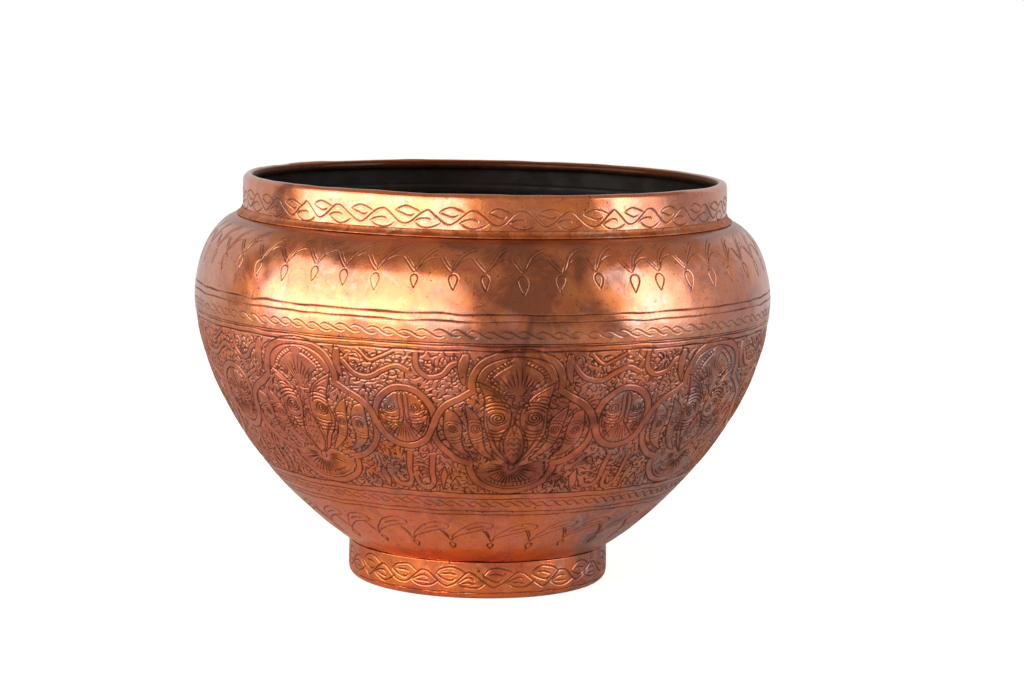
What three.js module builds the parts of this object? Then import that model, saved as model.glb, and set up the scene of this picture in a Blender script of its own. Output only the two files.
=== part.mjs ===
// Engraved copper pot: a round body raised in two halves, an upright collar with a wired lip, and a ring foot.
// Millimetres, +Z up. The origin is on the pot's axis, at the level of the surface that the foot stands on.
import * as THREE from 'three';

// Driving dimensions
const SEGMENTS = 48;            // facets around every turned piece
const GAP = 0.3;                // clearance between pieces that touch
const SHEET = 1.2;              // thickness of the raised body sheet
const STRIP = 1.1;              // thickness of the collar and foot strips

const BELLY_RADIUS = 165;       // widest point of the body
const BELLY_HEIGHT = 165.7;
const SEAM_HEIGHT = 156;        // where the lower bowl meets the shoulder
const COLLAR_RADIUS = 138.4;    // outside of the collar
const COLLAR_BASE = 209.5;      // where the shoulder runs in under the collar
const FLANGE_TOP = 217;         // top of the shoulder's turned-up flange, inside the collar
const FLANGE_BEND = 1.5;

const LIP_HEIGHT = 228.7;       // centre of the rolled lip
const LIP_ROLL_RADIUS = 3.1;    // outside radius of the roll
const LIP_ROLL_ANGLE = 240;     // degrees that the strip is rolled inwards
const WIRE_RADIUS = 1.7;

const FOOT_RADIUS = 74.7;       // outside of the foot ring
const FOOT_BEND = 4.9;          // outside radius of its lower edge
const FOOT_FLANGE_RADIUS = 64;  // inner edge of the turned-in rest flange
const BODY_FOOT_RADIUS = 75;    // where the body's wall crosses the top of the foot
const BODY_FOOT_HEIGHT = 21.9;
const FLOOR_RADIUS = 57;        // flat middle of the body's floor
const FLOOR_HEIGHT = 15.5;      // its underside

const SOLDER_LEG = 3.3;         // leg of the solder fillets
const SEAM_BEAD_WIDTH = 5;
const SEAM_BEAD_HEIGHT = 0.9;

// Materials
const finish = (color, roughness, metalness) => new THREE.MeshStandardMaterial({ color, roughness, metalness });
const bodyCopper = finish(0xb5653f, 0.32, 1);
const shoulderCopper = finish(0xc27a45, 0.26, 1);
const collarCopper = finish(0xcf9160, 0.26, 1);
const footCopper = finish(0xcc7a30, 0.28, 1);
const iron = finish(0x4a4440, 0.6, 1);
const solder = finish(0x9a8f86, 0.5, 1);

// Outlines: lists of (radius, height) points
const point = (radius, height) => new THREE.Vector2(radius, height);

function bend(centreRadius, centreHeight, radius, fromDegrees, toDegrees, steps) {
  return Array.from({ length: steps + 1 }, (_, i) => {
    const angle = THREE.MathUtils.degToRad(fromDegrees + (toDegrees - fromDegrees) * i / steps);
    return point(centreRadius + radius * Math.cos(angle), centreHeight + radius * Math.sin(angle));
  });
}

// The body's outer line, from the middle of the floor's underside to the collar, as three curves.
const floorCurve = new THREE.QuadraticBezierCurve(
  point(FLOOR_RADIUS, FLOOR_HEIGHT), point(65.7, FLOOR_HEIGHT), point(BODY_FOOT_RADIUS, BODY_FOOT_HEIGHT));
const wallCurve = new THREE.CubicBezierCurve(
  point(BODY_FOOT_RADIUS, BODY_FOOT_HEIGHT), point(119.25, 52.2),
  point(BELLY_RADIUS, 109.4), point(BELLY_RADIUS, BELLY_HEIGHT));
const shoulderCurve = new THREE.CubicBezierCurve(
  point(BELLY_RADIUS, BELLY_HEIGHT), point(BELLY_RADIUS, 166.5),
  point(163.4, 205.4), point(COLLAR_RADIUS, COLLAR_BASE));

// The part of a curve between two heights, in the given number of steps.
function span(curve, fromHeight, toHeight, steps) {
  const parameterAt = height => {
    let low = 0;
    let high = 1;
    for (let i = 0; i < 40; i++) {
      const middle = (low + high) / 2;
      if (curve.getPoint(middle).y < height) low = middle;
      else high = middle;
    }
    return (low + high) / 2;
  };
  const from = parameterAt(fromHeight);
  const to = parameterAt(toHeight);
  return Array.from({ length: steps + 1 }, (_, i) => curve.getPoint(from + (to - from) * i / steps));
}

// Height of an outline at a radius, by straight interpolation between its points.
function heightAt(outline, radius) {
  const next = outline.findIndex((p, i) => i > 0
    && Math.min(outline[i - 1].x, p.x) <= radius && radius <= Math.max(outline[i - 1].x, p.x));
  const [a, b] = [outline[next - 1], outline[next]];
  return a.y + (b.y - a.y) * (radius - a.x) / (b.x - a.x);
}

// A line beside an outline, at a distance to its left.
function beside(outline, distance) {
  return outline.map((p, i) => {
    const before = outline[Math.max(i - 1, 0)];
    const after = outline[Math.min(i + 1, outline.length - 1)];
    const along = after.clone().sub(before).normalize();
    return point(p.x - along.y * distance, p.y + along.x * distance);
  });
}

// Turns a closed outline, listed counter-clockwise with the axis on its left, into one solid.
function turned(name, outline, material) {
  const closed = outline[0].x === 0 ? outline : [...outline, outline[0].clone()];
  const mesh = new THREE.Mesh(new THREE.LatheGeometry(closed, SEGMENTS), material);
  mesh.name = name;
  mesh.rotation.x = Math.PI / 2;
  return mesh;
}

// Lower bowl: flat floor, rounded edge over the foot, and the wall up to the seam below the belly.
function lowerBowl() {
  const floorEdge = floorCurve.getPoints(4);
  const wall = span(wallCurve, BODY_FOOT_HEIGHT, SEAM_HEIGHT - GAP / 2, 10);
  const outside = [...floorEdge, ...wall.slice(1)];
  const inside = beside(outside, SHEET);
  inside[0] = point(FLOOR_RADIUS, FLOOR_HEIGHT + SHEET);
  inside[inside.length - 1].y = SEAM_HEIGHT - GAP / 2;
  return turned('lower_bowl', [
    point(0, FLOOR_HEIGHT), ...outside, ...inside.reverse(), point(0, FLOOR_HEIGHT + SHEET),
  ], bodyCopper);
}

// Shoulder shell: from the seam over the belly and in to the collar, ending in a flange inside the collar.
function shoulderShell() {
  const belly = span(wallCurve, SEAM_HEIGHT + GAP / 2, BELLY_HEIGHT, 2);
  const shoulder = span(shoulderCurve, BELLY_HEIGHT, COLLAR_BASE, 10);
  const flange = bend(COLLAR_RADIUS, COLLAR_BASE + FLANGE_BEND, FLANGE_BEND, 270, 180, 3);
  const outside = [...belly, ...shoulder.slice(1), ...flange.slice(1), point(COLLAR_RADIUS - FLANGE_BEND, FLANGE_TOP)];
  const inside = beside(outside, SHEET);
  inside[0].y = SEAM_HEIGHT + GAP / 2;
  return turned('shoulder_shell', [...outside, ...inside.reverse()], shoulderCopper);
}

// Neck collar: an upright strip standing over the shoulder's flange, its top rolled inwards over the wire.
function neckCollar() {
  const rollCentre = COLLAR_RADIUS - LIP_ROLL_RADIUS;
  const rollOutside = bend(rollCentre, LIP_HEIGHT, LIP_ROLL_RADIUS, 0, LIP_ROLL_ANGLE, 10);
  const rollInside = bend(rollCentre, LIP_HEIGHT, LIP_ROLL_RADIUS - STRIP, LIP_ROLL_ANGLE, 0, 8);
  const wall = COLLAR_RADIUS - STRIP;
  const clearOfBend = 2 * GAP;
  return turned('neck_collar', [
    point(wall, COLLAR_BASE + STRIP + GAP), point(COLLAR_RADIUS, COLLAR_BASE + clearOfBend),
    ...rollOutside, ...rollInside,
  ], collarCopper);
}

// Rim wire: the round wire inside the rolled lip.
function rimWire() {
  return turned('rim_wire', bend(COLLAR_RADIUS - LIP_ROLL_RADIUS, LIP_HEIGHT, WIRE_RADIUS, 0, 315, 7), iron);
}

// Foot ring: an upright strip under the body, its lower edge rounded and turned in as a flat rest flange.
function footRing() {
  const underBody = [...floorCurve.getPoints(20), ...wallCurve.getPoints(40).slice(1)];
  const wall = FOOT_RADIUS - STRIP;
  const bendCentre = FOOT_RADIUS - FOOT_BEND;
  return turned('foot_ring', [
    point(FOOT_FLANGE_RADIUS, 0),
    ...bend(bendCentre, FOOT_BEND, FOOT_BEND, 270, 360, 5),
    point(FOOT_RADIUS, heightAt(underBody, FOOT_RADIUS) - 1.5 * GAP),
    point(wall, heightAt(underBody, wall) - 1.5 * GAP),
    ...bend(bendCentre, FOOT_BEND, FOOT_BEND - STRIP, 360, 270, 4),
    point(FOOT_FLANGE_RADIUS, STRIP),
  ], footCopper);
}

// Neck solder: the hollow fillet in the outside corner between the collar and the shoulder.
function neckSolder() {
  const shoulder = shoulderCurve.getPoints(60);
  const face = COLLAR_RADIUS + GAP;
  const onShoulder = radius => point(radius, heightAt(shoulder, radius) + 1.5 * GAP);
  return turned('neck_solder', [
    onShoulder(face), onShoulder(COLLAR_RADIUS + SOLDER_LEG),
    point(face + SOLDER_LEG * 0.3, COLLAR_BASE + SOLDER_LEG * 0.42), point(face, COLLAR_BASE + SOLDER_LEG),
  ], solder);
}

// Belly solder: the low bead that closes the seam on the inside.
function bellySolder() {
  const wall = span(wallCurve, SEAM_HEIGHT - SEAM_BEAD_WIDTH / 2, SEAM_HEIGHT + SEAM_BEAD_WIDTH / 2, 2);
  const back = beside(wall, SHEET + 1.5 * GAP);
  const front = beside(wall, SHEET + 1.5 * GAP + SEAM_BEAD_HEIGHT).slice(1, -1);
  return turned('belly_solder', [...back, ...front.reverse()], solder);
}

// Foot solder: the fillet in the hidden corner inside the foot ring.
function footSolder() {
  const underBody = floorCurve.getPoints(20);
  const face = FOOT_RADIUS - STRIP - GAP;
  const onBody = radius => point(radius, heightAt(underBody, radius) - 1.5 * GAP);
  return turned('foot_solder', [
    point(face, onBody(face).y - SOLDER_LEG), onBody(face), onBody(face - SOLDER_LEG),
  ], solder);
}

const pot = new THREE.Group();
pot.add(
  footRing(), footSolder(), lowerBowl(), bellySolder(),
  shoulderShell(), neckSolder(), neckCollar(), rimWire(),
);

export default pot;
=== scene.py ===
import math

import bpy
import numpy as np
from mathutils import Matrix, Vector


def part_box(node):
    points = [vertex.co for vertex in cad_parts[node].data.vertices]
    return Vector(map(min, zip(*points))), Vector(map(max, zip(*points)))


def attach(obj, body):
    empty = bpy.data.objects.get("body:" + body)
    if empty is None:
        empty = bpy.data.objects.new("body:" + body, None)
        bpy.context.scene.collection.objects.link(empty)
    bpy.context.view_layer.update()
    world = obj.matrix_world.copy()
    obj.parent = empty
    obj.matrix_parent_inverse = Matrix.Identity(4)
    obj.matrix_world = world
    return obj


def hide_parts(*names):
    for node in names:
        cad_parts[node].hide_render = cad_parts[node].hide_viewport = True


# Engraved copper pot. Lengths are millimetres until a mesh is made. An angle on the pot is measured in degrees
# from the front (-Y) towards +X, and s is the distance along the outside from the foot's lower edge to the lip.
MM = 0.001
TURN = 360.0
FAR = 9.0

# Columns around a piece, and the distance between its rows
FINE_COLUMNS = 2400
FOOT_COLUMNS = 1200
PLAIN_COLUMNS = 600
LEAST_COLUMNS = 76
FINE_ROW = 0.42
EDGE_ROW = 0.6
INSIDE_ROW = 2.6
COARSE_SPACING = 3.2
ON_AXIS = 1e-3

# Where the outside's distance s starts on each engraved piece
FOOT_FLANGE = 5.8
BODY_START = 24.2
SEAM_GAP = 0.3
COLLAR_OFFSET = 46.2
OFF_PIECE = -900.0      # stands for s where nothing is engraved

# Depths of the chased work
GROOVE_DEPTH = 0.50
GROUND_DEPTH = 0.20
EDGE_SOFTNESS = 0.22
BURR_HEIGHT = 0.13
BURR_WIDTH = 0.17
BURR_AT = 0.36

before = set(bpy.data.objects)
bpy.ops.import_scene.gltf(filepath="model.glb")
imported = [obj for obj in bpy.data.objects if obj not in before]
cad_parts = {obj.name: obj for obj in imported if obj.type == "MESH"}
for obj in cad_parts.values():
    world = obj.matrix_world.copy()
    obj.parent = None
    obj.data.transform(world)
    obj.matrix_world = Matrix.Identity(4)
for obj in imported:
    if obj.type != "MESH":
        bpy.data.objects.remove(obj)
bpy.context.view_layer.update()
JOINT_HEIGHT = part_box("neck_collar")[0].z / MM


# ---------------------------------------------------------------- outlines

def spline(points, steps, closed=False):
    """A centripetal Catmull-Rom curve through the points, with the given number of steps in each span."""
    p = np.asarray(points, float)
    if closed:
        p = np.vstack([p[-1], p, p[0], p[1]])
    else:
        p = np.vstack([2 * p[0] - p[1], p, 2 * p[-1] - p[-2]])
    made = []
    for a, b, c, d in zip(p[:-3], p[1:-2], p[2:-1], p[3:]):
        ta, tb, tc = (max(math.sqrt(np.hypot(*(y - x))), 1e-6) for x, y in ((a, b), (b, c), (c, d)))
        m0 = ((b - a) / ta - (c - a) / (ta + tb) + (c - b) / tb) * tb
        m1 = ((c - b) / tb - (d - b) / (tb + tc) + (d - c) / tc) * tb
        t = np.linspace(0, 1, steps, endpoint=False)[:, None]
        made.append((2 * t**3 - 3 * t**2 + 1) * b + (t**3 - 2 * t**2 + t) * m0
                    + (3 * t**2 - 2 * t**3) * c + (t**3 - t**2) * m1)
    made.append(p[-2][None])
    return np.vstack(made)


def lengths(line):
    """Distance along a line at each of its points."""
    return np.concatenate([[0], np.cumsum(np.hypot(*np.diff(line, axis=0).T))])


def even(line, spacing):
    """The line again, with points an even distance apart."""
    along = lengths(line)
    count = max(int(round(along[-1] / spacing)), 1)
    t = np.linspace(0, along[-1], count + 1)
    return np.column_stack([np.interp(t, along, line[:, k]) for k in range(line.shape[1])])


def outline(node):
    """A CAD node's outline in the half plane through +X: ordered (radius, height) points, the axis on their left."""
    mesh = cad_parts[node].data
    points = np.array([v.co for v in mesh.vertices]) / MM
    key = {}
    for i, (x, y, z) in enumerate(points):
        if abs(y) < 0.01 and x > -0.01:
            key[i] = (round(max(x, 0.0), 2), round(z, 2))
    links = {k: set() for k in key.values()}
    for edge in mesh.edges:
        a, b = (key.get(i) for i in edge.vertices)
        if a is not None and b is not None and a != b:
            links[a].add(b)
            links[b].add(a)
    ends = [k for k in links if len(links[k]) == 1]
    walk = [min(ends, key=lambda k: k[1]) if ends else min(links)]
    while True:
        onward = [k for k in links[walk[-1]] if k not in walk]
        if not onward:
            break
        walk.append(onward[0])
    loop = np.array(walk)
    nxt = np.roll(loop, -1, axis=0)
    if np.sum(loop[:, 0] * nxt[:, 1] - nxt[:, 0] * loop[:, 1]) < 0:
        loop = loop[::-1]
    return loop, bool(ends)


def runs(loop, is_open):
    """Splits an outline at its corners into smooth runs. The first run is the one that reaches furthest out."""
    count = len(loop)
    before = loop - np.roll(loop, 1, axis=0)
    after = np.roll(loop, -1, axis=0) - loop
    turn = np.degrees(np.arctan2(before[:, 0] * after[:, 1] - before[:, 1] * after[:, 0], (before * after).sum(1)))
    corner = np.abs(turn) > 50
    if is_open:
        corner[[0, -1]] = True
    marks = list(np.flatnonzero(corner))
    if not marks:
        return [spline(loop, 8, closed=True)]
    found = []
    for a, b in zip(marks, marks[1:] + [marks[0] + count]):
        if is_open and b >= count:
            break
        run = loop[[i % count for i in range(a, b + 1)]]
        found.append(spline(run, 24) if len(run) > 2 else run)
    if is_open:
        return found
    first = max(range(len(found)), key=lambda i: found[i][:, 0].max())
    return found[first:] + found[:first]


# ---------------------------------------------------------------- hand-made unevenness

def waves(seed, count, around, along, angle, s):
    """Smooth noise about 1 high over (angle, s), seamless round the pot: a sum of plane waves.
    around is the range of whole waves per turn, along the range of wavelengths in mm."""
    rng = np.random.default_rng(seed)
    total = 0.0
    for _ in range(count):
        n = rng.integers(around[0], around[1] + 1) * rng.choice([-1, 1])
        k = 2 * np.pi / rng.uniform(*along)
        total = total + np.cos(np.radians(angle) * n + k * s + rng.uniform(0, 2 * np.pi))
    return total / math.sqrt(count / 2)


# Broad, middle and small dents: seed, number of waves, their range per turn, their range of lengths and their height
DENTS = (
    (11, 14, (3, 14), (60, 160), 0.16),
    (12, 26, (10, 38), (22, 60), 0.07),
    (13, 30, (30, 90), (9, 24), 0.012),
)


def dents(angle, height, radius):
    """How far the beaten metal stands off its true outline, in mm: less near the collar's joint and the axis."""
    total = sum(waves(*wave, angle, height) * tall for *wave, tall in DENTS)
    joint = np.clip(np.abs(height - JOINT_HEIGHT) / 8, 0.25, 1)
    return total * joint * np.clip((radius - 25) / 60, 0, 1)


def by_hand(path):
    """The drift of the graver from the drawn line: a path of (degrees, mm), moved a little."""
    angle, s = path[:, 0], path[:, 1]
    off = np.column_stack([
        waves(21, 12, (8, 60), (18, 60), angle, s) * 0.13,
        waves(22, 12, (8, 60), (18, 60), angle, s) * 0.18,
    ])
    return path + off


# ---------------------------------------------------------------- the graver

class Sheet:
    """The outside of a piece laid flat: rows by distance s, columns by angle. cut is the distance in mm from the
    nearest groove's edge (negative inside it), ground is 1 where the background is sunk, strap on raised straps."""

    def __init__(self, s, radius, columns):
        self.s = s
        self.columns = columns
        self.per_column = 2 * np.pi * radius / columns
        self.cut = np.full((len(s), columns), FAR)
        self.ground = np.zeros((len(s), columns))
        self.strap = np.zeros((len(s), columns))

    def field(self, path, half, reach):
        """Distance in mm from each grid point near the path to the path, less the stroke's half width."""
        path = by_hand(path)
        half = np.broadcast_to(np.asarray(half, float), len(path))
        inside = (path[:, 1] > self.s[0] - reach) & (path[:, 1] < self.s[-1] + reach)
        path, half = path[inside], half[inside]
        if len(path) == 0:
            return None
        row = np.interp(path[:, 1], self.s, np.arange(len(self.s)))
        column = path[:, 0] / TURN * self.columns
        i0, j0 = np.rint(row).astype(int), np.rint(column).astype(int)
        down = int(math.ceil(reach / (self.s[1] - self.s[0])))
        across = int(math.ceil(reach / self.per_column[i0].min()))
        low_i, high_i = max(i0.min() - down, 0), min(i0.max() + down, len(self.s) - 1)
        low_j, high_j = j0.min() - across, j0.max() + across
        wide = high_j - low_j + 1
        made = np.full((high_i - low_i + 1) * wide, FAR)
        di, dj = np.meshgrid(np.arange(-down, down + 1), np.arange(-across, across + 1), indexing="ij")
        di, dj = di.ravel(), dj.ravel()
        for start in range(0, len(path), 20000):
            part = slice(start, start + 20000)
            i = i0[part, None] + di[None]
            j = j0[part, None] + dj[None]
            on = (i >= low_i) & (i <= high_i)
            i = np.clip(i, low_i, high_i)
            gap = np.hypot(self.s[i] - path[part, 1, None], (j - column[part, None]) * self.per_column[i])
            gap = np.where(on, gap - half[part, None], FAR)
            np.minimum.at(made, ((i - low_i) * wide + (j - low_j)).ravel(), gap.ravel())
        rows = np.arange(low_i, high_i + 1)[:, None]
        columns = np.arange(low_j, high_j + 1)[None] % self.columns
        return rows, columns, made.reshape(-1, wide)

    def groove(self, paths, half):
        """Cuts grooves along the paths. A path may carry its own half width as a third column."""
        paths = paths if isinstance(paths, list) else [paths]
        if not paths:
            return
        whole = np.vstack([p[:, :2] for p in paths])
        widths = np.concatenate([p[:, 2] if p.shape[1] > 2 else np.full(len(p), half) for p in paths])
        found = self.field(whole, widths, half + 0.75)
        if found:
            rows, columns, gap = found
            np.minimum.at(self.cut, (rows, columns), gap)

    def band(self, path, half, edge=0.34):
        """A raised strap with a groove along both of its edges, over whatever it crosses."""
        found = self.field(path, 0.0, half + 1.2)
        if not found:
            return
        rows, columns, gap = found
        on = gap < half
        self.cut[rows, columns] = np.where(on, FAR, self.cut[rows, columns])
        self.ground[rows, columns] = np.where(on, 0, self.ground[rows, columns])
        self.strap[rows, columns] = np.where(on, 1, self.strap[rows, columns])
        scale = (FRIEZE_SCALE, 1)
        line = path[:, :2] * scale
        side = normals(line) * half
        self.groove([(line + side) / scale, (line - side) / scale], edge)

    def leave(self, path, edge=0.32, strap=0.0):
        """Leaves the shape inside a closed path standing, clear of other cuts, with a groove round it."""
        shape = by_hand(path)
        lo, hi = shape.min(0), shape.max(0)
        rows = np.flatnonzero((self.s >= lo[1]) & (self.s <= hi[1]))
        first, last = int(lo[0] / TURN * self.columns), int(hi[0] / TURN * self.columns) + 1
        columns = np.arange(first, last + 1)
        if len(rows) and len(columns):
            x = columns / self.columns * TURN
            y = self.s[rows]
            crossings = np.zeros((len(rows), len(columns)), bool)
            for (ax, ay), (bx, by) in zip(shape, np.roll(shape, -1, axis=0)):
                if ay == by:
                    continue
                level = (ay > y) != (by > y)
                edge_x = ax + (y - ay) * (bx - ax) / (by - ay)
                crossings ^= level[:, None] & (x[None] < edge_x[:, None])
            r, c = rows[:, None], (columns % self.columns)[None]
            self.cut[r, c] = np.where(crossings, FAR, self.cut[r, c])
            self.ground[r, c] = np.where(crossings, 0, self.ground[r, c])
            self.strap[r, c] = np.where(crossings, strap, self.strap[r, c])
        if edge:
            self.groove(np.vstack([path, path[:1]]), edge)

    def sink(self, low, high):
        """Marks the rows between two distances as sunk background."""
        self.ground[(self.s > low) & (self.s < high)] = 1

    def lines(self, seed, *rings):
        """Cuts lines right round the pot, each given by its distance s and half width."""
        for k, (s, half) in enumerate(rings):
            self.groove(around(s, half, seed + 2 * k), half)


def drawn(points, scale, spacing=0.3):
    """A smooth path through points (degrees, mm), sampled finely; scale is mm per degree."""
    p = np.asarray(points, float) * (scale, 1)
    return even(spline(p, 12) if len(p) > 2 else p, spacing) / (scale, 1)


def moved(path, angle, s=0.0):
    """A copy of a path, set down at an angle and a distance."""
    return path + (angle, s)


def tapered(path, half, start=0.35, end=0.35):
    """The path with a half width that thins towards its ends."""
    t = np.linspace(0, 1, len(path))
    swell = np.minimum(1, np.minimum(start + t * 4, end + (1 - t) * 4))
    return np.column_stack([path[:, :2], half * swell])


def around(s, half, seed, wander=0.06):
    """A line right round the pot, a little uneven in height and width."""
    angle = np.arange(0, TURN, 0.12)
    height = s + wander * waves(seed, 8, (1, 9), (500, 900), angle, 0 * angle)
    width = half * (1 + 0.16 * waves(seed + 1, 8, (6, 40), (500, 900), angle, 0 * angle))
    return np.column_stack([angle, height, width])


# ---------------------------------------------------------------- the borders

def chain(sheet, centre, half_height, count, seed):
    """The narrow twisted border: S strokes that lie over each other, nose to tail."""
    rng = np.random.default_rng(seed)
    pitch = TURN / count
    scale = 2.7
    h = half_height
    stroke = drawn([(-0.84 * pitch, 0.42 * h), (-0.56 * pitch, 0.96 * h), (-0.20 * pitch, 0.56 * h),
                    (0.20 * pitch, -0.56 * h), (0.54 * pitch, -0.96 * h), (0.78 * pitch, -0.62 * h)], scale)
    paths = []
    for k in range(count):
        at = (k + rng.normal(0, 0.05)) * pitch
        paths.append(tapered(moved(stroke, at, centre + rng.normal(0, 0.12)), 0.26))
    sheet.groove(paths, 0.26)


def running_border(sheet, count, scale, half, phase, back, seed, wander, stem, rows):
    """A stem that runs round the pot in waves, with leaves. A row is its shift in degrees, how much that varies from
    leaf to leaf (with 0 it follows the stem), and its strokes."""
    rng = np.random.default_rng(seed)
    unit = TURN / count
    line, paths = [], []
    for k in range(count):
        at = (k + phase) * unit - back
        dx, dy = rng.normal(0, wander[0]), rng.normal(0, wander[1])
        line += [(x + at + dx, y + dy) for x, y in stem]
        for shift, slip, strokes in rows:
            for points in strokes:
                off = rng.normal(0, slip) if slip else dx
                paths.append(tapered(moved(drawn(points, scale), at + shift + off, dy), half))
    sheet.groove(paths, half)
    sheet.groove(drawn(line + [(line[0][0] + TURN, line[0][1])], scale), half)


def neck_border(sheet):
    """Running stem of the collar with a leaf in every hollow, above and below it."""
    stem = [(-4.5, 269.4), (-2.7, 266.0), (-1.0, 262.6), (0.2, 261.6), (1.6, 263.0), (3.7, 267.0), (5.0, 269.2)]
    above = [
        [(-2.0, 268.2), (-0.9, 269.8), (0.5, 270.6), (2.3, 269.6), (4.0, 267.7)],
        [(-2.0, 268.2), (-0.5, 266.8), (0.8, 265.7), (1.8, 266.0), (2.3, 266.8)],
    ]
    below = [
        [(-3.0, 262.7), (-1.7, 260.6), (0.0, 259.6), (1.8, 260.5), (3.2, 262.5)],
        [(-3.0, 262.7), (-1.6, 264.3), (0.0, 264.9), (0.9, 264.4), (1.1, 263.4)],
    ]
    rows = (0, 0, above), (5.4, 0.2, below)
    running_border(sheet, 34, 2.42, 0.29, 0.4, 43.7 % (TURN / 34), 31, (0.25, 0.35), stem, rows)


def arcade(sheet, count, at, scale, leaf, lines, pendant, seed, half):
    """A row of horn-shaped leaves that lean on each other, with a drop hanging under every joint."""
    rng = np.random.default_rng(seed)
    unit = TURN / count
    paths = []
    for k in range(count):
        angle = at + (k + rng.normal(0, 0.03)) * unit
        up = rng.normal(0, 0.5)
        for k_line, points in enumerate(leaf + lines):
            bent = [(x, y + up) for x, y in points]
            weight = half * rng.uniform(0.85, 1.15) * (0.7 if k_line < len(leaf) else 0.9)
            paths.append(tapered(moved(drawn(bent, scale), angle), weight, 0.6, 0.3))
        size = rng.uniform(0.88, 1.12)
        top = max(y for x, y in pendant)
        drop = [(x * size, top + (y - top) * size + up) for x, y in pendant]
        paths.append(moved(drawn(drop, scale, 0.25), angle + rng.normal(0, 0.03) * unit))
    sheet.groove(paths, half)


def shoulder_arcade(sheet):
    leaf = [
        [(0.0, 227.6), (0.2, 230.8), (1.2, 237.0), (3.0, 242.0), (5.3, 245.0)],
        [(0.2, 228.6), (0.9, 231.4), (2.0, 234.4), (3.2, 236.2), (4.4, 236.4)],
    ]
    lines = [
        [(-2.7, 236.3), (-1.7, 232.4), (-0.7, 229.2), (0.0, 227.6)],
        [(-1.9, 236.4), (-1.1, 233.0), (-0.3, 230.2)],
        [(0.5, 229.8), (1.9, 236.4), (3.4, 240.4), (5.0, 242.6)],
    ]
    pendant = [(0.0, 217.9), (0.6, 221.2), (0.88, 224.2), (0.52, 226.3), (0.0, 226.8),
               (-0.52, 226.3), (-0.88, 224.2), (-0.6, 221.2), (0.0, 217.9)]
    arcade(sheet, 51, 1.0, 2.75, leaf, lines, pendant, 41, 0.27)


def lower_arcade(sheet):
    leaf = [
        [(0.0, 49.2), (1.3, 53.0), (3.6, 56.1), (6.5, 59.0), (9.5, 61.3), (12.7, 63.0)],
        [(12.7, 63.0), (13.1, 65.6), (12.0, 67.8)],
        [(0.0, 49.2), (1.3, 56.2), (3.0, 60.6), (6.0, 66.2), (10.0, 68.9), (12.0, 67.8)],
    ]
    lines = [
        [(-3.1, 61.4), (-1.8, 56.4), (-0.8, 52.4), (0.0, 49.2)],
        [(-2.0, 60.6), (-1.1, 56.6), (-0.4, 53.6)],
        [(5.2, 61.4), (7.6, 63.6), (10.3, 65.0)],
    ]
    pendant = [(0.0, 40.6), (0.7, 43.2), (1.15, 45.8), (0.7, 47.3), (0.0, 47.6),
               (-0.7, 47.3), (-1.15, 45.8), (-0.7, 43.2), (0.0, 40.6)]
    arcade(sheet, 28, 4.4, 1.72, leaf, lines, pendant, 42, 0.36)


def foot_border(sheet):
    """Running stem of the foot: a wide zigzag with leaves."""
    stem = [(-10.6, 10.0), (-7.6, 11.6), (-4.0, 15.6), (-1.4, 18.0), (1.6, 17.4), (5.4, 13.4), (8.6, 10.6)]
    above = [
        [(-5.2, 16.4), (-3.2, 19.4), (0.6, 20.9), (4.6, 20.0), (8.2, 17.2)],
        [(-5.2, 16.4), (-1.6, 14.0), (1.4, 13.2), (3.4, 14.6)],
        [(-2.8, 17.0), (0.8, 17.4), (4.0, 16.4)],
    ]
    below = [
        [(-4.6, 12.0), (-1.0, 9.8), (3.0, 9.5), (6.2, 11.0), (8.6, 13.4)],
        [(-4.6, 12.0), (-1.2, 14.4), (1.6, 15.0), (3.2, 13.8)],
        [(-2.6, 12.2), (0.8, 12.0), (3.6, 11.6)],
    ]
    rows = (-1.6, 0, below), (TURN / 34, 0, above)
    running_border(sheet, 17, 1.304, 0.34, 0, 2.3, 51, (0.5, 0.25), stem, rows)


# ---------------------------------------------------------------- the frieze

FRIEZE_LOW, FRIEZE_HIGH = 94.5, 186.3
FRIEZE_SCALE = 2.618
MEDALLIONS = 8
MEDALLION_AT = 7.2
STRAP = 2.05
RING_CENTRE, RING_RADII = (0, 52), (15.7, 18.4)


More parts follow.
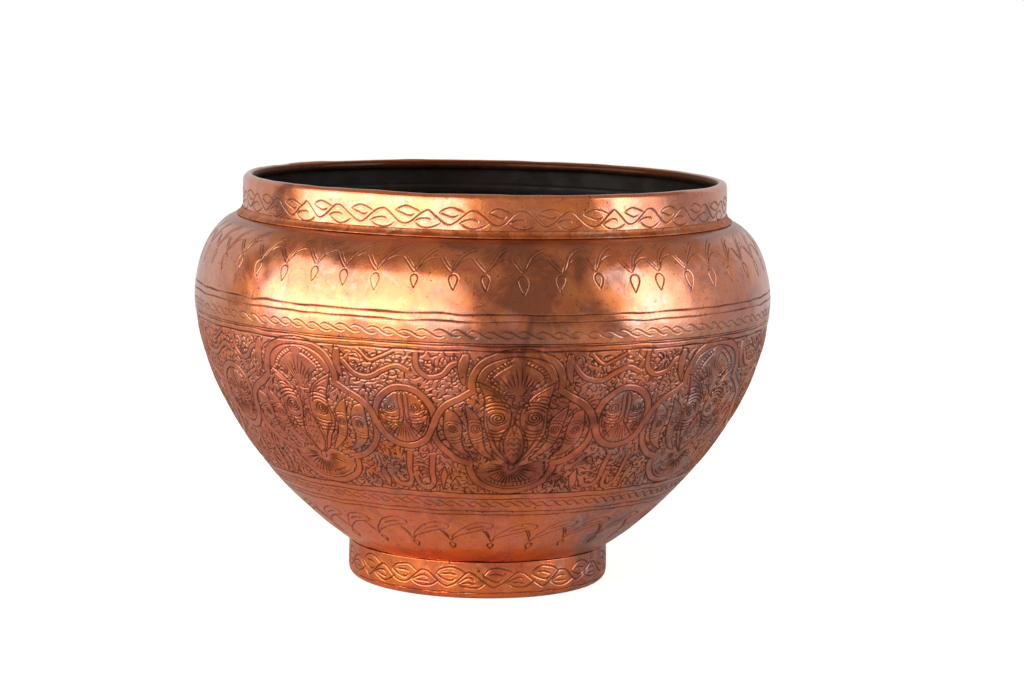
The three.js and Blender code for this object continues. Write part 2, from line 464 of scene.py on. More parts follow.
class Motif:
    """Draws in mm beside the axis of one frieze unit, left and right alike when both is set."""

    def __init__(self, sheet, angle, size=1.0):
        self.sheet = sheet
        self.angle = angle
        self.size = size

    def place(self, path, flip=1):
        made = path[:, :2].copy()
        made[:, 0] = made[:, 0] * flip * self.size + self.angle
        made[:, 1] += FRIEZE_LOW
        return np.column_stack([made, path[:, 2]]) if path.shape[1] > 2 else made

    def curve(self, points):
        return drawn([(x / FRIEZE_SCALE, y) for x, y in points], FRIEZE_SCALE)

    def arc(self, centre, radii, start, stop):
        """Part of an ellipse."""
        size = max(radii) * abs(stop - start) * math.pi / 180
        a = np.radians(np.linspace(start, stop, max(int(size / 0.3), 3)))
        return np.column_stack([(centre[0] + radii[0] * np.cos(a)) / FRIEZE_SCALE, centre[1] + radii[1] * np.sin(a)])

    def spiral(self, centre, radius, turns, start):
        """A spiral from the outside in."""
        t = np.linspace(0, 1, max(int(radius * turns * 12), 12))
        a = np.radians(start) + t * turns * 2 * np.pi
        r = radius * (1 - 0.85 * t)
        return np.column_stack([(centre[0] + r * np.cos(a)) / FRIEZE_SCALE, centre[1] + r * np.sin(a)])

    def groove(self, paths, half=0.34, both=True):
        sides = (1, -1) if both else (1,)
        self.sheet.groove([self.place(p, f) for p in paths for f in sides], half)

    def cut(self, half, *curves):
        """Grooves through lists of points."""
        self.groove([self.curve(points) for points in curves], half)

    def leave(self, points, strap=0.0, both=True, edge=0.32):
        path = self.curve(list(points) + [points[0]])[:-1]
        for flip in (1, -1) if both else (1,):
            self.sheet.leave(self.place(path, flip), edge, strap)

    def band(self, path, half=STRAP, both=False):
        for flip in (1, -1) if both else (1,):
            self.sheet.band(self.place(path, flip), half)


def chisel_strokes(sheet, low, high, spacing, seed):
    """The background: short curled chisel cuts, close together, that swirl in patches."""
    rng = np.random.default_rng(seed)
    mean_radius = 150.0
    across = int(2 * np.pi * mean_radius / spacing)
    up = int((high - low) / spacing)
    column, row = np.meshgrid(np.arange(across), np.arange(up))
    count = column.size
    x = (column.ravel() + 0.5 * (row.ravel() % 2) + rng.uniform(-0.4, 0.4, count)) * spacing
    y = low + (row.ravel() + rng.uniform(0.1, 0.9, count)) * spacing
    angle = x / mean_radius * 180 / np.pi
    heading = 1.7 * waves(seed + 1, 18, (12, 50), (16, 46), angle, y) + rng.normal(0, 0.22, count)
    curl = rng.normal(0, 0.40, count)
    length = rng.uniform(2.8, 5.6, count)
    t = np.linspace(-0.5, 0.5, 17)
    turn = heading[:, None] + curl[:, None] * length[:, None] * t[None] * 1.6
    step = length[:, None] / 16
    px = np.cumsum(np.cos(turn) * step, axis=1)
    py = np.cumsum(np.sin(turn) * step, axis=1)
    px += (x - px.mean(1))[:, None]
    py += (y - py.mean(1))[:, None]
    half = rng.uniform(0.26, 0.46, count)[:, None] * np.sqrt(1 - (1.8 * t[None]) ** 2)
    path = np.column_stack([(px / mean_radius * 180 / np.pi).ravel(), py.ravel(), half.ravel()])
    sheet.groove(path, 0.4)


def strap_paths(motif):
    """The medallion's strap in three lobes, left half first from the bottom."""
    lower = motif.arc((0, 22), (24.8, 19.5), 177, 363)
    middle = motif.curve([(24.6, 23), (31, 25.5), (37.4, 31.5), (41.4, 38), (42.7, 46.5), (40.8, 54.5),
                          (35.3, 61), (28.3, 65.5), (22.5, 69.5)])
    upper = motif.curve([(22.5, 69.5), (22.4, 75.5), (20.3, 81.5), (16, 86.8), (9, 90.2), (0, 91.4)])
    return lower, middle, upper


def ribs(motif, centre, radii, start, stop, half=0.3):
    """Nested arcs, such as the ribs of a leaf."""
    motif.groove([tapered(motif.arc(centre, (r, r * 0.92), start, stop), half) for r in radii], half)


def rays(motif, centre, inner, outer, start, stop, count, half=0.42, both=False):
    """Wedge cuts that spread from a centre, thick at the outside."""
    made = []
    for k in range(count):
        a = np.radians(start + (stop - start) * k / (count - 1))
        reach = outer * (1 + 0.16 * math.cos(5.1 * k))
        t = np.linspace(0, 1, 24)
        r = inner + (reach - inner) * t
        x, y = centre[0] + r * np.cos(a), centre[1] + r * np.sin(a)
        made.append(np.column_stack([x / FRIEZE_SCALE, y, half * np.sin(np.pi * np.clip(t, 0.04, 0.97)) ** 0.6]))
    motif.groove(made, half, both)


def ladder(motif, path, inward, spacing, half=0.26, both=True):
    """Short rungs across a band that follows a path."""
    line = path * (FRIEZE_SCALE, 1)
    steps = even(line, spacing)
    along = np.gradient(steps, axis=0)
    along /= np.hypot(*along.T)[:, None]
    made = []
    for p, d in zip(steps[1:-1], along[1:-1]):
        end = p + np.array([-d[1], d[0]]) * inward + d * inward * 0.25
        made.append(even(np.array([p, end]), 0.3) / (FRIEZE_SCALE, 1))
    motif.groove(made, half, both)


def leaf_eye(motif, centre, radius, turns, half=0.36):
    motif.groove([motif.spiral(centre, radius, turns, 200)], half)


def big_leaves(motif):
    """The pair of paisley leaves with a spiral eye in each."""
    motif.leave([(19.4, 75), (13.4, 71.4), (8.2, 67.0), (4.4, 61.6), (2.6, 56), (2.9, 50), (5.0, 45), (7.4, 39),
                 (7.6, 34), (5.2, 28), (1.2, 22.6), (4.7, 25.4), (9.2, 30), (13.4, 37), (16.4, 47), (16.0, 56),
                 (16.4, 64)])
    motif.cut(0.28, [(16.2, 71.2), (12.2, 68.8), (8.4, 65.0), (5.8, 60.4), (4.4, 56.4)],
              [(14.6, 55), (14.4, 47), (11.4, 38.4), (6.8, 30.6)], [(12.2, 44), (10.4, 37.6), (6.6, 30.2)])
    leaf_eye(motif, (9.5, 53.2), 4.6, 2.6, 0.42)
    ribs(motif, (9.8, 53.4), (6.4, 8.5, 10.6), 30, 140, 0.42)
    ribs(motif, (10.4, 51.0), (6.4, 8.6, 10.8, 13.0), 215, 305, 0.42)
    ribs(motif, (13.4, 63.0), (2.2, 4.2), 30, 160, 0.38)


def side_leaves(motif):
    """Two smaller leaves outside each big one."""
    motif.leave([(26.6, 61), (22.4, 57.6), (18.8, 52.4), (17.8, 46), (17.4, 40), (14.6, 32.6), (9.4, 26),
                 (15.4, 28.6), (20.6, 34), (24.2, 42), (25.4, 51)])
    leaf_eye(motif, (21.2, 46.6), 2.9, 2.1, 0.3)
    ribs(motif, (21.4, 46.6), (4.4, 6.2), 40, 150, 0.26)
    ribs(motif, (22.4, 44.6), (4.6, 6.6, 8.6), 200, 285, 0.26)
    motif.leave([(36.4, 59), (31.2, 56.6), (28.4, 51.6), (27.6, 46), (28.2, 39), (26.4, 32.6), (22.6, 27.6),
                 (29.8, 30.6), (34.6, 36), (37.2, 43), (37.4, 51)])
    leaf_eye(motif, (32.4, 46.0), 2.7, 2.0, 0.3)
    ribs(motif, (32.6, 46.0), (4.0, 5.6), 30, 150, 0.26)
    ribs(motif, (33.0, 44.0), (4.4, 6.2, 8.2), 200, 290, 0.26)


def centre_bud(motif):
    """The scaled bud between the leaves."""
    motif.leave([(0, 50.6), (2.6, 47), (4.6, 41.5), (5.4, 35.5), (4.2, 29), (0, 23.6),
                 (-4.2, 29), (-5.4, 35.5), (-4.6, 41.5), (-2.6, 47)], both=False)
    for y in (28.6, 32.0, 35.4, 38.8, 42.2):
        reach = 3.4 - abs(y - 35) * 0.16
        motif.groove([motif.arc((reach / 2, y), (reach / 2, 1.7), 0, 180)], 0.26)
    motif.cut(0.24, [(0, 44), (1.3, 47), (0, 49.4)])


def rosette(motif):
    """The small boss at the foot of the leaves, with wedge rays below it."""
    motif.leave([(0, 26), (-12, 24.5), (-19.5, 20), (-17, 11), (-9, 4.6), (0, 3.0),
                 (9, 4.6), (17, 11), (19.5, 20), (12, 24.5)], both=False, edge=0)
    rays(motif, (0, 21), 4.2, 13.6, 198, 342, 15, 0.44)
    rays(motif, (0, 21), 4.0, 15.0, -14, 10, 4, 0.4, both=True)
    motif.leave([(1.9, 21), (1.35, 22.4), (0, 22.9), (-1.35, 22.4), (-1.9, 21), (-1.35, 19.6), (0, 19.1),
                 (1.35, 19.6)], both=False, edge=0.3)
    for side in (0.0, 3.2):
        motif.groove([motif.arc((0, 22), (20.6 - side, 15.6 - side), 222, 318)], 0.28, both=False)
    ladder(motif, motif.arc((0, 22), (17.4, 12.4), 272, 318), -3.0, 2.3)


def crown(motif):
    """The fan of rays and the scrolls in the medallion's top lobe."""
    motif.leave([(0, 66), (-9, 75), (-18.5, 74), (-18.5, 80), (-13, 86.4), (0, 89),
                 (13, 86.4), (18.5, 80), (18.5, 74), (9, 75)], both=False, edge=0)
    rays(motif, (0, 65.0), 6.5, 17.0, 34, 146, 12, 0.40)
    scroll = [(3, 88), (8.4, 85.4), (13.6, 80.4), (16.2, 75.4)]
    motif.cut(0.26, scroll, [(3.4, 85.2), (8.0, 82.4), (11.8, 78.4), (13.6, 74.6)])
    ladder(motif, motif.curve(scroll), -2.8, 2.1)


def medallion(motif):
    """One medallion: the three-lobed strap and everything inside it."""
    crown(motif)
    rosette(motif)
    side_leaves(motif)
    big_leaves(motif)
    centre_bud(motif)
    lower, middle, upper = strap_paths(motif)
    motif.band(upper, both=True)
    motif.band(lower)
    motif.band(middle, both=True)


def ring(motif):
    """The round field between two medallions: twin spirals about an upright double leaf, with combs beside it."""
    motif.leave([(13.0 * math.cos(a), 52 + 15.6 * math.sin(a)) for a in np.arange(0, 2 * math.pi, 0.3)],
                both=False, edge=0)
    for turn in (1, -1):
        motif.leave([(turn * x, y) for x, y in (
            (0.5, 68), (2.6, 66), (2.8, 60), (2.2, 54), (3.4, 47), (1.6, 48.6), (0.5, 52))], both=False, edge=0.28)
    leaf_eye(motif, (6.6, 58.2), 3.3, 2.2, 0.36)
    ribs(motif, (6.8, 58.2), (4.9, 6.6), 250, 420, 0.28)
    ribs(motif, (5.6, 55.2), (3.6, 5.6, 7.6), 215, 320, 0.28)
    rays(motif, (0, 52), 3.0, 14.8, 236, 304, 9, 0.34)
    rays(motif, (1.5, 50.5), 5.0, 12.5, 305, 345, 5, 0.34, both=True)
    for x, y in ((11.2, 60.6), (11.6, 57.4), (12.0, 54.2), (10.0, 63.6), (11.2, 46.6), (9.4, 43.6)):
        motif.cut(0.34, [(x - 1.6, y - 0.6), (x - 0.4, y + 0.5), (x + 0.9, y - 0.3)])
    motif.cut(0.3, [(10.6, 50), (8.4, 44.6), (5.4, 40.2)], [(12.4, 53.6), (11.6, 47.4), (8.6, 41.6)])


def upper_field(motif):
    """Arabesque above a ring: two leaning S-shaped bands, a blade and their rungs."""
    for rungs, sweep in ((5.6, [(-31, 83.5), (-25, 76.6), (-17, 75.2), (-9, 79.4), (-2, 82.2), (3.4, 80)]),
                         (5.2, [(8, 90), (8.6, 82), (13.6, 77), (20.4, 78.4), (26.6, 84.6), (33, 85.4)])):
        ladder(motif, motif.curve(sweep), rungs, 2.7, both=False)
        motif.band(motif.curve(sweep), 1.6)
    motif.band(motif.curve([(-22, 89.6), (-16, 84.2), (-10.6, 86.4), (-4, 90.2)]), 1.1)
    motif.leave([(30.6, 90), (28.6, 84), (29.6, 76), (32.2, 72.4), (33.2, 80), (33.4, 90)], 1.0, both=False)
    motif.leave([(-35.4, 90), (-36.4, 84), (-34.4, 77), (-31.6, 73.4), (-32.0, 80), (-32.6, 90)], 1.0, both=False)


def lower_field(motif):
    """Arabesque below a ring: U-shaped scrolls and pointed blades standing on the border."""
    for hook in ([(-13.4, 10.4), (-10.4, 5.6), (-5.2, 5.2), (-2.0, 9.4), (-1.2, 18), (-0.2, 28)],
                 [(1.8, 12), (3.4, 5.4), (8.2, 3.4), (11.8, 7.4), (12.2, 16), (13.0, 27)]):
        motif.band(motif.curve(hook), 1.8)
    for rail in ([(4.4, 24), (4.6, 18), (5.0, 11)], [(-10.4, 22), (-9.8, 16), (-9.2, 10)]):
        ladder(motif, motif.curve(rail), 5.2, 2.6, both=False)
    for x, y, lean in ((19.2, 20.5, -1.4), (-19.0, 18.5, 1.8), (25.8, 12.0, -2.4), (-26.4, 11.0, 2.6)):
        motif.leave([(x, y), (x + 2.1, y * 0.68), (x + 1.6 + lean, 7.4), (x + lean, 1.8), (x - 1.6 + lean * 0.4, 7.4),
                     (x - 2.2, y * 0.66)], 1.0, both=False)


def frieze(sheet):
    """The wide frieze: medallions and rings woven together over a chiselled background."""
    sheet.sink(FRIEZE_LOW + 0.4, FRIEZE_HIGH - 0.4)
    chisel_strokes(sheet, FRIEZE_LOW + 0.8, FRIEZE_HIGH - 0.8, 2.7, 61)
    unit = TURN / MEDALLIONS
    rng = np.random.default_rng(62)
    medallions = [Motif(sheet, MEDALLION_AT + k * unit + rng.normal(0, 0.12), rng.uniform(0.985, 1.015))
                  for k in range(MEDALLIONS)]
    rings = [Motif(sheet, MEDALLION_AT + (k + 0.5) * unit + rng.normal(0, 0.12)) for k in range(MEDALLIONS)]
    for motif in rings:
        upper_field(motif)
        lower_field(motif)
        ring(motif)
        motif.band(motif.arc(RING_CENTRE, RING_RADII, 0, 360))
    for motif in medallions:
        medallion(motif)
    for motif in rings:
        motif.band(motif.arc(RING_CENTRE, RING_RADII, 196, 236))
        motif.band(motif.arc(RING_CENTRE, RING_RADII, -56, -16))


# ---------------------------------------------------------------- turned shells

def ring_counts(radius, columns, engraved, closed):
    """How many columns each row has: all of them where it is engraved, else halved until they are wide enough.
    Rows that are stitched together differ by a factor of two at most."""
    wanted = []
    for r, full in zip(radius, engraved):
        n = columns
        while not full and n % 2 == 0 and n > LEAST_COLUMNS and 2 * np.pi * max(r, 1) / n < COARSE_SPACING / 1.5:
            n //= 2
        wanted.append(n)
    count = len(wanted)
    for step in (1, -1):
        for k in range(2 * count if closed else count - 1):
            i = (k * step) % count if closed else (k + 1 if step == 1 else count - 2 - k)
            wanted[i] = max(wanted[i], wanted[(i - step) % count] // 2)
    return wanted


# Faces of one cell between two rings, as (side, place across the cell): side 0 is the lower ring, 1 the upper
EVEN_CELL = (((0, 0), (0, 1), (1, 1), (1, 0)),)
UP_TO_POINT = (((0, 0), (0, 1), (1, 0.5)),)
UP_FROM_POINT = (((0, 0.5), (1, 1), (1, 0)),)
HALVED_CELL = (((0, 0), (0, 0.5), (1, 0)), ((0, 0.5), (1, 1), (1, 0)), ((0, 0.5), (0, 1), (1, 1)))
DOUBLED_CELL = (((0, 0), (1, 0.5), (1, 0)), ((0, 0), (0, 1), (1, 0.5)), ((0, 1), (1, 1), (1, 0.5)))


def stitch(starts, counts):
    """Faces between two rings, given their first vertices and their numbers of columns: their vertices, the places
    of those round the pot from 0 to 1, and the ring that each is on."""
    low, high = counts
    if low == high:
        n, cell = low, EVEN_CELL
    elif 1 in counts:
        n, cell = max(counts), UP_FROM_POINT if low == 1 else UP_TO_POINT
    else:
        n, cell = min(counts), HALVED_CELL if low > high else DOUBLED_CELL
    j = np.arange(n)
    faces = [np.column_stack([starts[k] + ((j + at) * counts[k] / n).astype(int) % counts[k] for k, at in face])
             for face in cell]
    turns = [np.column_stack([(j + at) / n for _, at in face]) for face in cell]
    sides = [np.tile([k for k, _ in face], (n, 1)) for face in cell]
    return np.vstack(faces), np.vstack(turns), np.vstack(sides)


def mesh_from(name, points, faces):
    """A mesh from points in mm and a list of face arrays."""
    mesh = bpy.data.meshes.new(name)
    loops = np.concatenate([f.ravel() for f in faces])
    totals = np.concatenate([np.full(len(f), f.shape[1]) for f in faces])
    mesh.vertices.add(len(points))
    mesh.vertices.foreach_set("co", (points * MM).astype(np.float32).ravel())
    mesh.loops.add(len(loops))
    mesh.loops.foreach_set("vertex_index", loops.astype(np.int32))
    mesh.polygons.add(len(totals))
    starts = np.concatenate([[0], np.cumsum(totals)[:-1]])
    mesh.polygons.foreach_set("loop_start", starts.astype(np.int32))
    mesh.polygons.foreach_set("loop_total", totals.astype(np.int32))
    mesh.update(calc_edges=True)
    mesh.polygons.foreach_set("use_smooth", np.ones(len(totals), bool))
    return mesh


def normals(profile):
    """Unit vectors to the outside of an outline, at each of its points."""
    along = np.gradient(profile, axis=0)
    along /= np.maximum(np.hypot(*along.T), 1e-9)[:, None]
    return np.column_stack([along[:, 1], -along[:, 0]])


class Profile:
    """The rows of a turned shell, in order round its outline."""

    def __init__(self, closed):
        self.closed = closed
        self.points, self.normal, self.s, self.inside, self.engraved, self.zone = [], [], [], [], [], []

    def add(self, line, start=None, inside=0.0, zone=2):
        """Adds a run of points, less those that repeat a neighbour. start is the first one's distance s, on a run
        that gets all its columns; a run's place on the texture is its zone."""
        normal = normals(line)
        s = np.full(len(line), OFF_PIECE) if start is None else start + lengths(line)
        inside = np.broadcast_to(inside, len(line))
        first = 1 if self.points and np.hypot(*(line[0] - self.points[-1])) < ON_AXIS else 0
        for i in range(first, len(line)):
            if self.closed and self.points and np.hypot(*(line[i] - self.points[0])) < ON_AXIS:
                continue
            for kept, value in ((self.points, line[i]), (self.normal, normal[i]), (self.s, s[i]),
                                (self.inside, inside[i]), (self.engraved, start is not None), (self.zone, zone)):
                kept.append(value)


def shell(name, node, profile, columns, engrave=None, uneven=1.0, strips=2, depth=1.0):
    """Turns a profile into a closed, dented and engraved mesh object that stands for a CAD node."""
    points, normal, s, engraved = (np.array(v) for v in (profile.points, profile.normal, profile.s, profile.engraved))
    axis = points[:, 0] < ON_AXIS
    counts = [1 if on else n for on, n in zip(axis, ring_counts(points[:, 0], columns, engraved, profile.closed))]
    sheet = None
    if engrave:
        rows = np.flatnonzero(engraved)
        sheet = Sheet(s[rows], points[rows, 0], columns)
        engrave(sheet)
        cut = np.clip((EDGE_SOFTNESS - sheet.cut) / (2 * EDGE_SOFTNESS), 0, 1)
        cut = cut * cut * (3 - 2 * cut)
        burr = BURR_HEIGHT * np.exp(-((sheet.cut - BURR_AT) / BURR_WIDTH) ** 2)
        row_of = {r: i for i, r in enumerate(rows)}
    starts, placed, marks = [], [], []
    total = 0
    for i, (n, (r, z)) in enumerate(zip(counts, points)):
        angle = np.arange(n) / n * TURN
        lift = dents(angle, z, r) * uneven * np.clip(z / 6, 0, 1) if r > ON_AXIS else np.zeros(n)
        deep, groove, ground, strap = np.zeros((4, n))
        if sheet and i in row_of:
            groove, ground, strap = cut[row_of[i]], sheet.ground[row_of[i]], sheet.strap[row_of[i]]
            deep = depth * (GROOVE_DEPTH * groove - burr[row_of[i]]) + GROUND_DEPTH * ground * (1 - 0.4 * groove)
        off = lift * (-1 if profile.inside[i] > 0.5 else 1) - deep
        radius = r + normal[i, 0] * off
        a = np.radians(angle)
        placed.append(np.column_stack([radius * np.sin(a), -radius * np.cos(a), z + normal[i, 1] * off + 0 * a]))
        marks.append(np.column_stack([groove, ground, strap, np.full(n, profile.inside[i]), np.full(n, s[i]), angle]))
        starts.append(total)
        total += n
    faces, uvs, shaded_inner_faces = [], [], []
    along = lengths(np.vstack([points, points[:1]]))
    pairs = [(i, i + 1) for i in range(len(points) - 1)]
    if profile.closed:
        pairs.append((len(points) - 1, 0))
    for i, k in pairs:
        face, turn, side = stitch((starts[i], starts[k]), (counts[i], counts[k]))
        faces.append(face)
        # Faces wholly inside take the second material, the painted shade of the hollow.
        shaded_inner_faces.append(np.full(len(face), profile.inside[i] == 1 and profile.inside[k] == 1))
        uvs.append(unwrapped(profile.zone, i, turn, side, along, strips))
    mesh = mesh_from(name, np.vstack(placed), faces)
    mesh.polygons.foreach_set("material_index", np.concatenate(shaded_inner_faces).astype(np.int32))
    layer = mesh.uv_layers.new(name="OFBake")
    layer.data.foreach_set("uv", np.vstack(uvs).astype(np.float32).ravel())
    marks = np.vstack(marks)
    for k, mark in enumerate(("cut", "ground", "strap", "inside")):
        values = mesh.attributes.new(mark, "FLOAT", "POINT")
        values.data.foreach_set("value", marks[:, k].astype(np.float32))
    marks_and_painted_light(mesh, marks[:, 5], marks[:, 4])
    mesh.validate()
    piece = bpy.data.objects.new(name, mesh)
    bpy.context.scene.collection.objects.link(piece)
    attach(piece, "root")
    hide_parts(node)
    return piece


# The texture: its lower part holds the outside in strips, and zones 1 and 2 each have a band above them
STRIPS_HIGH = 0.85
ZONE_BANDS = {1: (0.855, 0.925), 2: (0.93, 0.995)}


def unwrapped(zone, row, turn, side, along, strips):
    """Texture coordinates of the faces between two rows: the outside in strips one over another, the rest above."""
    pad = 0.004
    rows = [i for i in range(len(zone)) if zone[i] == zone[row]]
    low, high = along[rows[0]], along[rows[-1] + 1]
    here = (np.where(side == 1, along[row + 1], along[row]) - low) / (high - low)
    if zone[row] != 0:
        bottom, top = ZONE_BANDS[zone[row]]
        return np.stack([pad + turn * (1 - 2 * pad), bottom + here * (top - bottom)], -1).reshape(-1, 2)
    strip = np.floor(turn.min(1, keepdims=True) * strips + 1e-6)
    u = turn * strips - strip
    v = (strip + pad + here * (1 - 2 * pad)) * STRIPS_HIGH / strips
    return np.stack([pad + u * (1 - 2 * pad), v], -1).reshape(-1, 2)


# Middle (degrees, s), half extent (degrees, mm) and strength of each brown patch: the first four, at the front, are
# painted shade, and the last two, behind, are smudges
SHADE_AND_SMUDGES = (
    (-53, 268, 5.5, 14, 1.0), (-2, 207.5, 4.5, 5, 0.6), (-46, 226, 5, 10, 0.8),
    (63, 262, 5, 9, 0.7), (118, 214, 8, 10, 0.9), (205, 150, 9, 16, 0.8),
)


def between(s, low, low_edge, high, high_edge):
    """1 between two distances, with soft edges of the given widths inside them, and 0 beyond."""
    return np.clip((s - low) / low_edge, 0, 1) * np.clip((high - s) / high_edge, 0, 1)


def marks_and_painted_light(mesh, angle, s):
    """Marks that belong to a place on the pot: a drip stain down the front, a painted dark reflection over the front,
    a grey side with a painted silvery reflection on it, and brown patches on the collar, the shoulder and the bowl
    that are painted shade at the front and smudges behind."""
    wander = 0.5 * waves(71, 5, (1, 4), (40, 90), 0 * angle, s)
    drip = np.exp(-((angle - 8.6 - wander) / 0.62) ** 2) * between(s, 108, 12, 208, 5)
    # The right side: grey tarnish, with a painted silvery reflection of the side light.
    edge = 24 + 6 * waves(72, 10, (4, 20), (30, 80), angle, s)
    side = np.clip((edge - apart(angle, 49 + np.clip((104 - s) / 6, 0, 9))) / 14, 0, 1) * between(s, -4, 20, 206, 25)
    # A grey patch at the front left.
    edge = 5 + 3 * waves(75, 12, (10, 40), (15, 50), angle, s)
    patch = np.clip((edge - apart(angle, -22 - 0.05 * (s - 130))) / 5, 0, 1) * 0.75 * between(s, 78, 20, 176, 20)
    # A painted dark reflection down the front, from the frieze to the collar.
    edge = 16 + 4 * waves(73, 12, (6, 30), (18, 70), angle, s)
    lean = 9 + 0.02 * np.clip(s - 190, 0, 60)
    front_dark_reflection = np.clip((edge - apart(angle, lean)) / 9, 0, 1) * between(s, 92, 14, 256, 8)
    # Brown patches: painted shade on the front of the collar and the shoulder, smudges behind.
    ragged = 1.6 + 0.35 * waves(74, 14, (10, 60), (8, 30), angle, s)
    shade_and_smudge = sum(strength * np.clip(ragged - 1.4 * np.hypot(apart(angle, at) / wide, (s - height) / tall), 0, 1)
                 for at, height, wide, tall, strength in SHADE_AND_SMUDGES)
    for name, values in (("drip", drip), ("grey_and_reflection", np.maximum(side, patch)), ("front_dark_reflection", front_dark_reflection),
                         ("shade_and_smudge", np.clip(shade_and_smudge, 0, 1))):
        mesh.attributes.new(name, "FLOAT", "POINT").data.foreach_set("value", values.astype(np.float32))


def apart(angle, middle):
    """How many degrees each angle is from a middle one."""
    return np.abs((angle - middle + TURN / 2) % TURN - TURN / 2)


# ---------------------------------------------------------------- the pieces

def lower_bowl():
    outer, top, inner = runs(*outline("lower_bowl"))
    split = int(np.argmax(outer[:, 0] >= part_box("foot_ring")[1].x / MM))
    wall = even(outer[split:], FINE_ROW)
    profile = Profile(closed=False)
    profile.add(even(outer[:split + 1], 2.4), zone=1)
    profile.add(wall, BODY_START, zone=0)
    profile.add(even(top, EDGE_ROW))
    # The inside of the bowl is painted near black as shade.
    profile.add(even(inner, INSIDE_ROW), inside=1.0)

    def engrave(sheet):
        frieze(sheet)
        lower_arcade(sheet)
        chain(sheet, 86.0, 2.2, 124, 81)
        sheet.lines(90, (76.4, 0.34), (79.8, 0.34), (90.4, 0.34), (FRIEZE_LOW, 0.42), (FRIEZE_HIGH, 0.42),
                    (189.2, 0.34))

    return shell("engraved_bowl", "lower_bowl", profile, FINE_COLUMNS, engrave, strips=2), wall


def shoulder(wall):
    outer, top, inner, base = runs(*outline("shoulder_shell"))
    start = BODY_START + lengths(wall)[-1] + SEAM_GAP
    turn = int(np.argmax((outer[:, 1] > 190) & (outer[:, 0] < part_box("neck_collar")[1].x / MM)))
    profile = Profile(closed=True)
    profile.add(even(outer[:turn + 1], FINE_ROW), start, zone=0)
    # The outside that runs in under the collar, and the inner runs, are painted near black as shade.
    profile.add(even(outer[turn:], 1.0), inside=1.0, zone=1)
    for run, row in ((top, EDGE_ROW), (inner, INSIDE_ROW), (base, EDGE_ROW)):
        profile.add(even(run, row), inside=1.0)

    def engrave(sheet):
        shoulder_arcade(sheet)
        chain(sheet, 195.4, 1.9, 114, 82)
        sheet.lines(110, (202.0, 0.32), (205.8, 0.38))

    return shell("engraved_shoulder", "shoulder_shell", profile, FINE_COLUMNS, engrave, strips=4, depth=0.6)


def collar():
    outer, edge, inner, base = runs(*outline("neck_collar"))
    profile = Profile(closed=True)
    split = int(np.argmax(outer[:, 1] > outer[:, 1].max() - 0.02))
    shown = even(outer, FINE_ROW)
    # Where the outside turns in over the lip, it is painted up to 0.9 of the way to near black, as shade.
    turned_in = np.clip((lengths(shown) - lengths(outer)[split] - 1.2) / 2.0, 0, 1)
    profile.add(shown, COLLAR_OFFSET + shown[0, 1], inside=turned_in * 0.9, zone=0)
    for run, row in ((edge, EDGE_ROW), (inner, 1.6), (base, EDGE_ROW)):
        profile.add(even(run, row), inside=1.0)

    def engrave(sheet):
        neck_border(sheet)
        sheet.lines(130, (258.2, 0.26))

    return shell("engraved_collar", "neck_collar", profile, FINE_COLUMNS, engrave, uneven=0.8, strips=5, depth=0.7)


def foot():
    outer, top, inner, edge = runs(*outline("foot_ring"))
    profile = Profile(closed=True)
    profile.add(even(outer, FINE_ROW), -FOOT_FLANGE, zone=0)
    profile.add(even(top, EDGE_ROW))
    # The foot ring's inner wall, under the pot, is painted 0.7 of the way to near black, as shade.
    profile.add(even(inner, 1.8), inside=0.7)
    profile.add(even(edge, EDGE_ROW))

    def engrave(sheet):
        foot_border(sheet)
        sheet.lines(140, (6.6, 0.24))

    return shell("engraved_foot", "foot_ring", profile, FOOT_COLUMNS, engrave, uneven=0.8, strips=4)


def plain_ring(name, node, uneven, swell=0.0):
    """A turned piece without engraving, such as a solder bead or the rim's wire."""
    profile = Profile(closed=True)
    for k, run in enumerate(runs(*outline(node))):
        line = even(run, 0.5)
        profile.add(line + normals(line) * swell, OFF_PIECE, zone=0 if k == 0 else 2)
    return shell(name, node, profile, PLAIN_COLUMNS, uneven=uneven, strips=5)


# ---------------------------------------------------------------- materials

def fill(tree, node, inputs):
    """Sets a node's inputs: each value is a constant, a colour or another node's output."""
    for key, value in inputs.items():
        socket = node.inputs[key]
        if isinstance(value, bpy.types.NodeSocket):
            tree.links.new(value, socket)
        else:
            socket.default_value = (*value, 1) if socket.type == "RGBA" else value


def add_node(tree, kind, inputs=()):
    node = tree.nodes.new("ShaderNode" + kind)
    fill(tree, node, dict(inputs))
    return node


